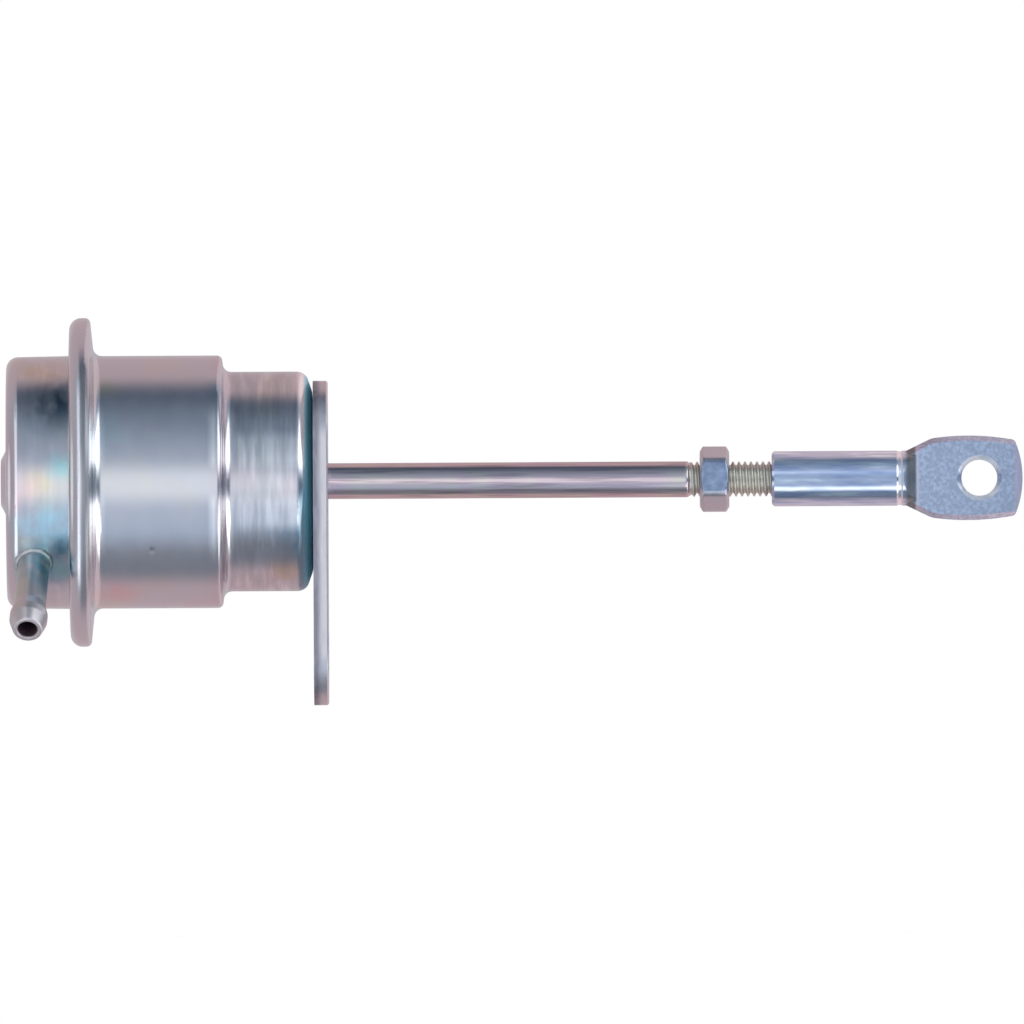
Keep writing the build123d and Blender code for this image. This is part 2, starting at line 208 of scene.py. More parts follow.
def turned_points(profile, segments, place):
    """Return the points of a profile of (distance, radius) turned round an axis.

    place is the matrix that puts the axis, which is X, where it belongs."""
    turn = np.linspace(0, 2 * math.pi, segments, endpoint=False)
    rows = [
        np.stack([np.full(segments, along), radius * np.cos(turn), radius * np.sin(turn)], axis=1)
        for along, radius in profile
    ]
    flat = np.concatenate(rows)
    return flat @ np.array(place.to_3x3()).T + np.array(place.translation)


def seat(piece, body, node, material):
    """Give a finished piece its material and body, and let it stand for its CAD node."""
    piece.data.materials.clear()
    piece.data.materials.append(material)
    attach(piece, body)
    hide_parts(node)


# Sizes and colours that a user would change


class StageSettings(bpy.types.PropertyGroup):
    camera_distance: length("Camera distance", "From the rod's axis to the camera", 7000)
    picture_width: length("Picture width", "What the picture spans at the rod's axis", 170.7)
    picture_x: length("Picture centre X", "Where the picture's centre is along the rod", 30.67)
    picture_z: length("Picture centre Z", "Where the picture's centre is in height", 23.2)
    roll: angle("Roll", "The camera's roll", 0.3)
    floor_drop: length("Floor drop", "From the bolt holes down to the floor", 450)
    tent_radius: length("Tent radius", "From the rod's axis to the cards round it", 420)


class FinishSettings(bpy.types.PropertyGroup):
    zinc: colour("Zinc", "Bright zinc plate on the canister, the bracket and the rod", "#d0d3d9")
    zinc_straw: colour("Straw cast", "The warmest cast of the passivate", "#d7d4cb")
    zinc_blue: colour("Blue zinc", "Blue-passivated zinc on the nut and the rod end", "#c8d3e6")
    zinc_rose: colour("Rose cast", "The reddest cast of the passivate", "#d6c6ce")
    thread_zinc: colour("Thread zinc", "Dull zinc in the rolled thread", "#cdccc3")
    inner_steel: colour("Inner steel", "Bare pressed steel inside the canister", "#b9babc")
    spring_steel: colour("Spring steel", "Phosphated spring wire", "#5f6064")
    bronze: colour("Bronze", "Sintered bronze of the guide", "#a8835a")
    rubber: colour("Rubber", "Nitrile rubber of the diaphragm", "#1b1b1c")


class RodSettings(bpy.types.PropertyGroup):
    shank_radius: length("Shank radius", "Radius of the plain bar", 3.0)
    tail_radius: length("Tail radius", "Radius of the stepped tail", 2.25)
    collar_radius: length("Collar radius", "Radius of the collar", 5.0)
    rivet_radius: length("Rivet radius", "Radius of the riveted end", 3.6)
    shank_end: length("Shank end", "Where the plain bar ends", 60.2)
    thread_end: length("Thread end", "Where the threaded end is", 88.0)
    thread_radius: length("Thread radius", "Radius over the thread's crests", 2.93)
    thread_depth: length("Thread depth", "From crest to root", 0.58)
    pitch: length("Pitch", "From one crest to the next", 1.0)
    crest: length("Crest", "Where a crest is on top of the rod", 67.55)
    runout: length("Run-out", "How far the thread takes to reach its full depth", 0.9)
    segments: IntProperty(
        name="Segments", description="Points round the rod", default=96, min=24, max=256
    )


class NutSettings(bpy.types.PropertyGroup):
    start: length("Start", "Where the nut's rear face is", 62.0)
    thickness: length("Thickness", "Length along the rod", 4.9)
    across_flats: length("Across flats", "Width over two opposite flats", 10.0)
    corner_radius: length("Corner radius", "Radius that the corners are rounded off to", 5.47)
    face_radius: length("Face radius", "Radius of the flat round each hole", 4.6)
    bore_radius: length("Bore radius", "Radius inside the thread's crests", 2.99)
    turn: angle("Turn", "How far the nut stands turned round the rod", -6.0)


class NippleSettings(bpy.types.PropertyGroup):
    down_angle: angle("Down angle", "How far the nipple points below level", 40.0)
    lean_angle: angle("Lean angle", "How far it leans to the rear", 3.3)
    setback: length("Setback", "From the cover's rear face to the nipple", 4.6)
    radius: length("Radius", "Radius of the plain tube", 2.65)
    bore_radius: length("Bore radius", "Radius of the bore", 1.575)
    barb_radius: length("Barb radius", "Largest radius of the barb", 3.15)
    barb_lead: length("Barb lead", "From the mouth back to the barb's land", 2.3)
    barb_land: length("Barb land", "Length of the barb's land", 1.5)
    barb_rise: length("Barb rise", "From the land back to the plain tube", 2.0)
    mouth_radius: length("Mouth radius", "Radius round the mouth", 2.45)
    mouth_chamfer: length("Mouth chamfer", "Chamfer at the bore's edge", 0.25)
    reach: length("Reach", "From the cover's wall to the mouth", 17.0)
    braze: length("Braze", "Size of the braze round the foot", 0.6)


# The stage


WHITE = (1.05, 1.07, 1.13)
BRIGHT = (1.75, 1.78, 1.85)
WARM = (1.7, 1.62, 1.62)
COOL = (0.72, 0.84, 1.05)
PALE = (0.6, 0.66, 0.79)
MID = (0.5, 0.59, 0.73)
DIM = (0.45, 0.51, 0.61)
STEEL = (0.28, 0.36, 0.46)
SLATE = (0.25, 0.31, 0.39)
LEAD = (0.27, 0.3, 0.35)
INK = (0.1, 0.13, 0.18)
PLUM = (0.24, 0.255, 0.3)
GREY = (0.47, 0.46, 0.5)
MAUVE = (0.6, 0.46, 0.48)
LILAC = (0.78, 0.61, 0.63)
DUSK = (0.6, 0.55, 0.59)

# The light tent is a tube round the rod's axis, in stretches along it. Each has where it starts and
# ends in millimetres, its light above and below the object, and its light at some angles round the
# axis, counted up from the camera's direction and blended between them. A polished shaft draws them
# as the bands along it, and the fillets, whose faces look towards the ends, as the bright blades
# beside them.
TENT = [
    ("far_left", -1500, -250, MAUVE, [(-110, MAUVE), (-90, GREY), (90, GREY), (110, MAUVE)]),
    (
        "left_strip",
        -250,
        -115,
        MAUVE,
        [(-110, MAUVE), (-80, GREY), (-66, BRIGHT), (60, WHITE), (80, GREY), (105, MAUVE)],
    ),
    (
        "middle",
        -115,
        67,
        MAUVE,
        [
            *((-108, MAUVE), (-89, PLUM), (-66, PLUM), (-45, MID), (-22, PALE), (-9, WHITE)),
            *((4, WHITE), (20, DIM), (50, SLATE), (80, INK), (90, INK), (108, MAUVE)),
        ],
    ),
    (
        "right",
        67,
        135,
        LILAC,
        [
            *((-108, LILAC), (-84, PLUM), (-64, SLATE), (-56, SLATE), (-49, WHITE), (-44, BRIGHT)),
            *((-38, BRIGHT), (-33, WHITE), (-28, PALE), (-8, MID), (14, MID), (27, COOL)),
            *((36, PALE), (60, STEEL), (84, LEAD), (108, LILAC)),
        ],
    ),
    (
        "far_right",
        135,
        800,
        LILAC,
        [
            *((-96, LILAC), (-84, GREY), (-72, WARM), (-24, WARM), (-14, SLATE), (-5, INK)),
            *((5, SLATE), (15, BRIGHT), (60, BRIGHT), (76, SLATE), (92, SLATE), (108, LILAC)),
        ],
    ),
]
# Cards across the tent's right end: nearest and farthest edge from the camera's side, lowest and
# highest edge, all in millimetres from the rod's axis, and their light
END_CARDS = [
    ("end_high", -420, 0, 150, 420, BRIGHT),
    ("end_level", -420, 0, -150, 150, SLATE),
    ("end_low", -420, 0, -420, -150, BRIGHT),
    ("end_back", 0, 420, -420, 420, DIM),
]


def glow_material(name):
    """Return a card's material, whose light is the mesh's own colour."""
    material, add, _ = new_material(name)
    light = add("ShaderNodeAttribute", attribute_name="light")
    add("ShaderNodeOutputMaterial", add("ShaderNodeEmission", light, 1.0))
    return material


def add_card(name, points, faces, lights, material):
    """Put one card on the stage, seen by reflections alone."""
    mesh = bpy.data.meshes.new("card_" + name)
    mesh.from_pydata(points, [], faces)
    attribute = mesh.attributes.new("light", "FLOAT_COLOR", "POINT")
    attribute.data.foreach_set("color", np.array(lights, np.float32).ravel())
    mesh.materials.append(material)
    card = new_object(mesh.name, mesh)
    card.visible_camera = False
    card.visible_diffuse = False
    card.visible_shadow = False


def make_tent(settings):
    """Hang the light tent round the object."""
    material = glow_material("studio cards")
    radius = settings.tent_radius
    degrees = np.linspace(-180, 180, 121)
    for name, start, end, side, front in TENT:
        points, lights = [], []
        stops = [(-166, DUSK), (-152, side), *front, (152, side), (166, DUSK)]
        angles = [stop[0] for stop in stops]
        channels = [np.interp(degrees, angles, [stop[1][c] for stop in stops]) for c in range(3)]
        for degree, *light in zip(degrees, *channels):
            y = -radius * math.cos(math.radians(degree))
            z = AXIS_HEIGHT + radius * math.sin(math.radians(degree))
            points += [(start * MM, y, z), (end * MM, y, z)]
            lights += [(*light, 1.0)] * 2
        add_card(name, points, grid_faces(len(degrees), 2), lights, material)
    right = TENT[-1][2] * MM
    for name, *edges, light in END_CARDS:
        near_y, far_y, low, high = (edge * MM for edge in edges)
        low, high = AXIS_HEIGHT + low, AXIS_HEIGHT + high
        corners = ((near_y, low), (far_y, low), (far_y, high), (near_y, high))
        points = [(right, *corner) for corner in corners]
        add_card(name, points, [(0, 1, 2, 3)], [(*light, 1.0)] * 4, material)


def seen_share(add):
    """Return a share that is 1 for what the camera sees, straight, mirrored or through glass."""
    path = add("ShaderNodeLightPath").outputs
    share = add(MATH, path["Is Camera Ray"], path["Is Glossy Ray"], **MOST)
    return add(MATH, share, path["Is Transmission Ray"], **MOST)


def make_world(scene):
    """Light the scene evenly and show a white background to the camera and in the metal."""
    world = bpy.data.worlds.new("white studio")
    scene.world = world
    world.use_nodes = True
    world.node_tree.nodes.clear()
    add = partial(add_node, world.node_tree)
    room = add("ShaderNodeBackground", (0.95, 0.96, 1), 0.9)
    white = add("ShaderNodeBackground", (1, 1, 1), 1.0)
    add("ShaderNodeOutputWorld", add("ShaderNodeMixShader", seen_share(add), room, white))


def make_floor(settings):
    """Lay the plain pale floor, which keeps the object's shadow."""
    size, lift = 40.0, 0.25  # how far it reaches, and its own light that keeps it white
    mesh = bpy.data.meshes.new("floor")
    drop = -settings.floor_drop
    corners = [(-size, -size, drop), (size, -size, drop), (size, size, drop), (-size, size, drop)]
    mesh.from_pydata(corners, [], [(0, 1, 2, 3)])
    floor = new_object("floor", mesh)
    material, add, _ = new_material("matt white floor")
    paint = add("ShaderNodeBsdfDiffuse", "#f4f4f4", 0.9)
    glow = add("ShaderNodeEmission", Strength=add(MATH, seen_share(add), lift, **TIMES))
    add("ShaderNodeOutputMaterial", add("ShaderNodeAddShader", paint, glow))
    mesh.materials.append(material)


def make_camera(scene, settings):
    """Set the camera level with the rod, square to it and far off."""
    data = bpy.data.cameras.new("camera")
    data.sensor_width = 36
    data.lens = data.sensor_width * settings.camera_distance / settings.picture_width
    data.clip_start, data.clip_end = 0.1, 200
    camera = new_object("camera", data)
    camera.location = (settings.picture_x, -settings.camera_distance, settings.picture_z)
    camera.rotation_euler = (math.pi / 2, settings.roll, 0)
    scene.camera = camera


class OBJECT_OT_actuator_stage(bpy.types.Operator):
    """Set the floor, the cards of the light tent, the world and the camera"""

    bl_idname = "object.actuator_stage"
    bl_label = "Stage"

    def execute(self, context):
        scene = context.scene
        scene.view_settings.view_transform = "Standard"
        make_world(scene)
        make_floor(scene.actuator_stage)
        make_tent(scene.actuator_stage)
        make_camera(scene, scene.actuator_stage)
        return {"FINISHED"}


# Finishes


def new_material(name):
    """Return a material, what adds nodes to its empty tree, and its object coordinates."""
    material = bpy.data.materials.new(name)
    material.use_nodes = True
    material.node_tree.nodes.clear()
    add = partial(add_node, material.node_tree)
    return material, add, add("ShaderNodeTexCoord").outputs["Object"]


def lumps(add, place, size_mm, detail=2.0, squeeze=(1, 1, 1)):
    """Return noise whose largest lumps are size_mm across, squeezed along each axis."""
    placed = add("ShaderNodeMapping", place, Scale=[s / (size_mm * MM) for s in squeeze])
    return add("ShaderNodeTexNoise", placed, Scale=1.0, Detail=detail, Roughness=0.5)


def band(add, value, edges_mm, **settings):
    """Return a share that rises from 0 over the first two of four edges and falls over the rest."""
    start, full, last, end = (edge * MM for edge in edges_mm)
    rise = add(RANGE, value, start, full, **settings)
    return add(MATH, rise, add(RANGE, value, end, last, **settings), **TIMES)


def layered(add, shade, *layers):
    """Return a colour with others laid over it in turn, each given with its share."""
    for share, over in layers:
        shade = add(MIX, share, shade, over, data_type="RGBA")
    return shade


def near(add, place, point_mm, reach_mm):
    """Return a share that is 1 at a point and falls to 0 at its reach."""
    away = add(VECTOR_MATH, place, [c * MM for c in point_mm], operation="DISTANCE")
    return add(RANGE, away, reach_mm * MM, 0.0, **SMOOTH)


def metal(add, base, roughness, bumps, metallic=1.0):
    """Finish a metal; each bump is a height and how many millimetres it stands for."""
    normal = None
    for height, depth_mm in bumps:
        depth = depth_mm * MM
        normal = add("ShaderNodeBump", Strength=1.0, Distance=depth, Height=height, Normal=normal)
    shader = add("ShaderNodeBsdfPrincipled", base, metallic, roughness, Normal=normal)
    add("ShaderNodeOutputMaterial", shader)


# Places on the canister along X, in millimetres
SHOULDER = (-5.4, -4.4)  # the narrow can's rounded front, which turns to the bracket
GAP = (-4.3, -3.3)  # the narrow gap between that front and the bracket
RIM_CORNER = (-41.1, -40.6, -39.9, -39.5)  # the rim's front corner, which carries painted shade
SIDE_START = (-16, -14.5)  # where the narrow can's side begins
# The fillets at the flange, at the step's outer edge and at its foot, which carry a painted
# highlight
FILLETS = (
    (-36.8, -38.6, -38.6, -39.5),
    (-20.0, -18.9, -18.9, -18.2),
    (-15.4, -16.4, -16.4, -17.0),
)
# Distances above and below the canister's axis, in millimetres
SIDE_LIT = (1.5, 4, 6.5, 9)  # the stretch of the narrow can's side that the painted highlight covers
FILLETS_LIT = (1.5, 4, 10, 14)  # the stretch of each fillet that the painted highlight covers
RIM_FADE = (21, 15)  # where the painted shade on the rim's corner fades out and in


def drawn_zinc(name, colours, tints, roughness, ring_span, ring_strength):
    """Bright zinc plate on deep-drawn sheet: satin, with faint rings that the die left.

    The passivate leaves a cast that drifts from blue to straw and rose, and deeper ones where it
    ran together and dried thick. Each tint has its middle and reach in millimetres, its colour and
    its strength; some of them are painted light instead, as noted where they are listed. ring_span
    is where the rings show, as places along X in millimetres. The narrow gap in front of the
    shoulder is painted light teal and made less metallic, painted reflection that lightens it, and
    the rim's front corner is painted grey and made duller, painted shade that darkens it."""
    material, add, place = new_material(name)
    parts = add(SPLIT, place).outputs
    along, height = parts["X"], parts["Z"]
    off_axis = add(MATH, add(MATH, height, AXIS_HEIGHT, **MINUS), **ABSOLUTE)

    drift = lumps(add, place, 14, squeeze=(1, 0.6, 0.6))
    straw, rose = add(RANGE, drift, 0.54, 0.74), add(RANGE, drift, 0.46, 0.28)
    shade = layered(add, colours.zinc, (straw, colours.zinc_straw), (rose, colours.zinc_rose))
    fine = lumps(add, place, 4, 3, squeeze=(1.5, 1, 1))
    ragged = add(RANGE, fine, 0.25, 0.6)
    for point, reach, pool, strength in tints:
        share = add(MATH, near(add, place, point, reach), ragged, **TIMES)
        shade = layered(add, shade, (add(MATH, share, strength, **TIMES), pool))

    # A painted highlight, white, makes the narrow can's side brighter beside its middle, above and
    # below the axis
    bright = band(add, off_axis, SIDE_LIT, **SMOOTH)
    side = add(RANGE, along, SIDE_START[0] * MM, SIDE_START[1] * MM, 0, 0.9)
    shade = layered(add, shade, (add(MATH, bright, side, **TIMES), "#ffffff"))

    # Real rings are finer; these are as fine as the render can show
    rings = lumps(add, place, 1.3, squeeze=(1, 0.12, 0.12))
    start, end = ring_span
    span = band(add, along, (start - 1, start + 2, end - 2, end + 1), **SMOOTH)
    span = add(MATH, span, ring_strength, **TIMES)
    dark = add(MATH, add(RANGE, rings, 0.62, 0.36, 0, 0.6), span, **TIMES)
    light = add(MATH, add(RANGE, rings, 0.55, 0.8, 0, 0.4), span, **TIMES)
    grey = [c * 0.72 for c in colours.zinc]
    shade = layered(add, shade, (dark, grey), (light, "#ffffff"))

    # A painted highlight, white, lies over the shoulder's upper half and a painted teal reflection
    # over its lower half; they meet between these heights above the bolt holes
    front, back = SHOULDER
    shoulder = add(RANGE, along, front * MM, back * MM, **SMOOTH)
    for low, high, painted_sheen in ((29, 34, "#ffffff"), (32, 26, "#8fb0c0")):
        share = add(RANGE, height, low * MM, high * MM, **SMOOTH)
        shade = layered(add, shade, (add(MATH, shoulder, share, **TIMES), painted_sheen))

    # A painted highlight, white, widens the bright blades on the fillets above and below the axis
    # level
    lit = band(add, off_axis, FILLETS_LIT, **SMOOTH)
    for fillet in FILLETS:
        share = add(MATH, band(add, along, fillet), lit, **TIMES)
        shade = layered(add, shade, (share, "#ffffff"))
    # The narrow gap is painted light teal and made less metallic: painted reflection that lightens
    # it
    gap = add(RANGE, along, GAP[0] * MM, GAP[1] * MM, **SMOOTH)
    # Painted shade, grey and duller, on the rim's front corner dims the highlight there
    rolled = add(RANGE, off_axis, RIM_FADE[0] * MM, RIM_FADE[1] * MM)
    rolled = add(MATH, band(add, along, RIM_CORNER), rolled, **TIMES)
    grey = [c * 0.48 for c in colours.zinc]
    shade = layered(add, shade, (gap, "#7cc3d4"), (rolled, grey))

    dull = add(RANGE, fine, 0.3, 0.7, roughness - 0.02, roughness + 0.03)
    dull = add(MATH, add(MATH, rolled, gap, **MOST), 0.16, dull, **TIMES_PLUS)
    metallic = add(MATH, gap, -0.75, 1.0, **TIMES_PLUS)
    metal(add, shade, dull, [(rings, 0.004)], metallic)
    return material


def blanked_zinc(name, colours):
    """Zinc plate on blanked plate: the cut edge is smooth where it sheared and torn behind.

    The tear is duller and greyer, the sheared land wavy and bright, and the faces are satin."""
    material, add, place = new_material(name)
    along = add(SPLIT, place).outputs["X"]
    facing = add(SPLIT, add("ShaderNodeNewGeometry").outputs["Normal"]).outputs["X"]
    edge = add(RANGE, add(MATH, facing, **ABSOLUTE), 0.6, 0.2)
    # The cut sheared smooth beside the plate's front face and tore over the rest
    border = add(MATH, lumps(add, place, 5), 0.6 * MM, along, **TIMES_PLUS)
    torn = add(RANGE, border, -0.5 * MM, -1.7 * MM, **SMOOTH)
    torn = add(MATH, torn, edge, **TIMES)
    drift = add(RANGE, lumps(add, place, 9), 0.4, 0.7)
    streaks = lumps(add, place, 1.1, 3, squeeze=(1, 1, 0.22))
    runs = add(MATH, add(RANGE, streaks, 0.5, 0.7), add(RANGE, edge, 0, 1, 0.15, 0.4), **TIMES)
    shade = layered(add, colours.zinc, (drift, colours.zinc_rose), (edge, "#d1d0d4"))
    shade = layered(add, shade, (torn, "#8f8f9b"), (runs, "#bbbbc2"))
    waves = add(MATH, streaks, edge, **TIMES)
    tear = add(MATH, lumps(add, place, 0.5, 3, squeeze=(0.35, 1, 1)), torn, **TIMES)
    metal(add, shade, add(RANGE, torn, 0, 1, 0.3, 0.42), [(tear, 0.02), (waves, 0.05)])
    return material


# Places on the rod end along X, in millimetres
BAR_END = 96.4  # where the drawn bar runs out into the forged ramp
EYE = 108.6  # the eye's middle
TIP = (114.2, 115.0)  # the rounded tip beyond the eye
BAR_ROUGHNESS, FORGED_ROUGHNESS = 0.09, 0.2


def forged_zinc(name, base, cast):
    """Blue-passivated zinc on the forged rod end: bright, with a fine mottle.

    Up to the ramp the surface is the drawn bar's, with faint lines along it."""
    material, add, place = new_material(name)
    parts = add(SPLIT, place).outputs
    along = parts["X"]
    worked = add(RANGE, along, (BAR_END - 0.3) * MM, (BAR_END + 0.3) * MM)

    def zone(start, end):
        return band(add, along, (start, start + 0.35, end - 0.35, end))

    # A real mottle and real drawing lines are finer; these are as fine as the render can show
    drift, mottle = lumps(add, place, 0.55, 4), lumps(add, place, 0.45, 3)
    lines = lumps(add, place, 1.1, 3, squeeze=(0.13, 1, 1))
    dark, pale = add(RANGE, lines, 0.48, 0.64), add(RANGE, lines, 0.42, 0.3)
    bar = layered(add, base, (dark, cast), (pale, [min(1, c * 1.45) for c in base]))
    # The bar's end carries a painted highlight, white, and the ramp that the die drew is laid
    # greyer
    bar_end_highlight = add(MATH, zone(BAR_END - 1.7, BAR_END - 0.4), 0.8, **TIMES)
    bar = layered(add, bar, (bar_end_highlight, "#ffffff"))

    dark, pale = add(RANGE, drift, 0.46, 0.6, 0, 0.5), add(RANGE, drift, 0.48, 0.34, 0, 0.5)
    shade = layered(add, base, (dark, [c * 0.72 for c in base]))
    shade = layered(add, shade, (pale, [min(1, c * 1.25) for c in base]))
    # A painted highlight, pale lilac, runs where the flat starts
    ramp, flat_edge_highlight = zone(BAR_END - 0.4, BAR_END + 1.7), zone(BAR_END + 1.5, BAR_END + 2.3)
    shade = layered(add, shade, (ramp, "#8d9294"), (flat_edge_highlight, "#e0dbe8"))
    # A painted highlight, white, lies on the countersink round the eye above and below the axis,
    # and a painted lilac reflection on the tip
    flat = add(VECTOR_MATH, place, (1, 0, 1), **TIMES)
    away = add(VECTOR_MATH, flat, (EYE * MM, 0, AXIS_HEIGHT), operation="DISTANCE")
    countersink_highlight = add(RANGE, away, 3.85 * MM, 3.65 * MM)
    off_axis = add(MATH, add(MATH, parts["Z"], AXIS_HEIGHT, **MINUS), **ABSOLUTE)
    sides = add(RANGE, off_axis, 0.5 * MM, 2.2 * MM, 0.1, 0.9)
    countersink_highlight = add(MATH, countersink_highlight, sides, **TIMES)
    tip = add(RANGE, along, TIP[0] * MM, TIP[1] * MM, 0, 0.8)
    shade = layered(add, shade, (countersink_highlight, "#ffffff"), (tip, "#d9cfe0"))
    shade = layered(add, bar, (worked, shade))

    rougher = FORGED_ROUGHNESS - BAR_ROUGHNESS
    dull = add(MATH, worked, rougher, BAR_ROUGHNESS, **TIMES_PLUS)
    height = add(MATH, mottle, worked, **TIMES)
    drawn = add(MATH, lines, add(MATH, 1.0, worked, **MINUS), **TIMES)
    metal(add, shade, dull, [(height, 0.005), (drawn, 0.006)])
    return material


def pressed_steel(name, base, roughness):
    """Plain sheet or wire inside the canister: grey and satin, as it came from the tool."""
    material, add, place = new_material(name)
    drift = lumps(add, place, 4, 3)
    shade = layered(add, base, (add(RANGE, drift, 0.4, 0.65), [c * 0.82 for c in base]))
    dull = add(RANGE, drift, 0.3, 0.7, roughness, roughness + 0.1)
    metal(add, shade, dull, [(lumps(add, place, 0.3), 0.002)])
    return material


def sintered_bronze(name, base):
    """Oil-filled sintered bronze: brown and matt, peppered with open pores."""
    material, add, place = new_material(name)
    # Real pores are smaller; these are as small as the render can show
    pores = lumps(add, place, 0.35, 4)
    shade = layered(add, base, (add(RANGE, pores, 0.56, 0.66), [c * 0.35 for c in base]))
    metal(add, shade, 0.42, [(pores, 0.01)])
    return material


def moulded_rubber(name, base):
    """Fabric-backed nitrile rubber: black and dull, with the cloth's weave showing through."""
    material, add, place = new_material(name)
    placed = add("ShaderNodeMapping", place, Scale=(1 / (0.5 * MM),) * 3)
    settings = {"bands_direction": "DIAGONAL", "Scale": 0.5, "Distortion": 1.0}
    weave = add("ShaderNodeTexWave", placed, wave_type="BANDS", **settings).outputs["Fac"]
    bump = add("ShaderNodeBump", Strength=1.0, Distance=0.02 * MM, Height=weave)
    shader = add("ShaderNodeBsdfPrincipled", base, Roughness=0.62, IOR=1.52, Normal=bump)
    add("ShaderNodeOutputMaterial", shader)
    return material


def finish(node, material):
    """Give a carried-over CAD node its material."""
    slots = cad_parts[node].data.materials
    slots.clear()
    slots.append(material)


def soft_copy(name, node, picks=None):
    """Return a copy of a node's mesh, its doubles merged.

    picks takes the middle of a face and tells whether the copy has that face. The two rings that
    are left open there are bridged."""
    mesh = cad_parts[node].data.copy()
    part = bmesh.new()
    part.from_mesh(mesh)
    bmesh.ops.remove_doubles(part, verts=part.verts, dist=0.0005 * MM)
    if picks:
        spare = [face for face in part.faces if not picks(face.calc_center_median())]
        bmesh.ops.delete(part, geom=spare, context="FACES")
        bmesh.ops.bridge_loops(part, edges=[edge for edge in part.edges if edge.is_boundary])
        bmesh.ops.recalc_face_normals(part, faces=part.faces)
    part.to_mesh(mesh)
    part.free()
    return new_object(name, mesh)


class OBJECT_OT_actuator_canister(bpy.types.Operator):
    """Finish the drawn housing and the cover, and the bracket that is welded to them"""

    bl_idname = "object.actuator_canister"
    bl_label = "Canister and bracket"

    def execute(self, context):
        colours = context.scene.actuator_finishes
        housing_tints = [
            # Painted teal reflection on the shoulder's lower half
            ((-4.5, -15, 20.3), 8, "#5aa3bd", 0.9),
            ((-4.2, -17.5, 33), 7, "#9fb4c4", 0.7),
            ((-6.5, -10.5, 13.5), 5, "#cdb889", 0.7),
            ((-37.4, -19.6, 37), 6, "#b9dbe4", 0.5),
            ((-36.6, -13.8, 44.6), 4, "#c6d2b0", 0.5),
            ((-35, -10, 10.5), 6, "#e3bcc6", 0.6),
            # A small pit, painted as a dark dot of painted shade above a white dot of painted
            # highlight
            ((-29.2, -17.8, 17.5), 0.8, "#6b707c", 0.7),
            ((-29.2, -17.3, 16.8), 0.8, "#ffffff", 0.6),
            ((-17.3, -14, 43), 4.5, "#9db6c9", 0.9),
        ]
        cover_tints = [
            ((-47.7, -21, 27.2), 5.5, "#e9dfb4", 0.75),
            ((-46.5, -19.6, 20.8), 7.5, "#c2f3ff", 1.0),
            ((-50.6, -20.8, 26.3), 5, "#efcdd8", 0.75),
            ((-44.3, -17.9, 17.3), 4, "#33788f", 1.0),
            ((-45, -16, 41.5), 8.5, "#466072", 1.0),
            ((-47, -10, 47), 6, "#d6c193", 0.7),
            # A painted cyan highlight beside the rim
            ((-44.4, -20.5, 31), 3.5, "#a8e6e9", 0.9),
            ((-47, -14, 12.5), 6, "#86a9c4", 0.8),
            ((-44.3, -15.3, 13.8), 3.2, "#a4e0dc", 0.9),
        ]
        name = "zinc plate on drawn housing"
        finish("front_housing", drawn_zinc(name, colours, housing_tints, 0.22, (-17, -5), 1.0))
        name = "zinc plate on drawn cover"
        finish("rear_cover", drawn_zinc(name, colours, cover_tints, 0.2, (-52, -44), 0.35))
        finish("bracket", blanked_zinc("zinc plate on blanked plate", colours))
        return {"FINISHED"}


class OBJECT_OT_actuator_works(bpy.types.Operator):
    """Finish the spring, the diaphragm and the other pieces inside the canister"""

    bl_idname = "object.actuator_works"
    bl_label = "Inner works"

    def execute(self, context):
        colours = context.scene.actuator_finishes
        steel = pressed_steel("pressed steel", list(colours.inner_steel), 0.3)
        for node in ("piston", "clamp_plate", "rivet_washer", "guide_cup", "spring_seat"):
            finish(node, steel)
        finish("guide_bush", sintered_bronze("sintered bronze", list(colours.bronze)))

        # The spring's copy is seated with the canister
        wire = pressed_steel("phosphated spring wire", list(colours.spring_steel), 0.4)
        coil = soft_copy("return_spring_coil", "return_spring")
        seat(coil, "canister", "return_spring", wire)
        low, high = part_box("return_spring")
        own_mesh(coil)

        # The diaphragm is split into its outer half, which stays in the rim with the canister, and
        # its inner half round the piston
        rubber = moulded_rubber("fabric-backed nitrile rubber", list(colours.rubber))
        low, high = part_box("piston")
        crest_radius = (high.z - low.z) / 2 + FOLD_MIDDLE

        def is_outer(point):
            return math.hypot(point.y, point.z - AXIS_HEIGHT) > crest_radius

        outer = soft_copy("diaphragm_rim", "diaphragm", is_outer)
        seat(outer, "canister", "diaphragm", rubber)
        inner = soft_copy("diaphragm_fold", "diaphragm", lambda point: not is_outer(point))
        inner.data.materials.clear()
        inner.data.materials.append(rubber)
        low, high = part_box("diaphragm")
        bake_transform(inner)
        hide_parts("diaphragm")
        return {"FINISHED"}


# The hose nipple


def nipple_place(settings):
    """Return the matrix that turns X into the nipple's direction, from the canister's axis."""
    down, lean = settings.down_angle, settings.lean_angle
    level = math.cos(lean)
    along = Vector((-math.sin(lean), -math.cos(down) * level, -math.sin(down) * level))
    side = Vector((1, 0, 0)).cross(along).normalized()
    third = along.cross(side)
    # The boss stands a millimetre behind the cover's rear face
    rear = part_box("rear_cover")[0].x + 1.0 * MM
    base = Vector((rear + settings.setback + COVER_RADIUS * math.tan(lean), 0, AXIS_HEIGHT))
    turn = Matrix((along, side, third)).transposed().to_4x4()
    return Matrix.Translation(base) @ turn


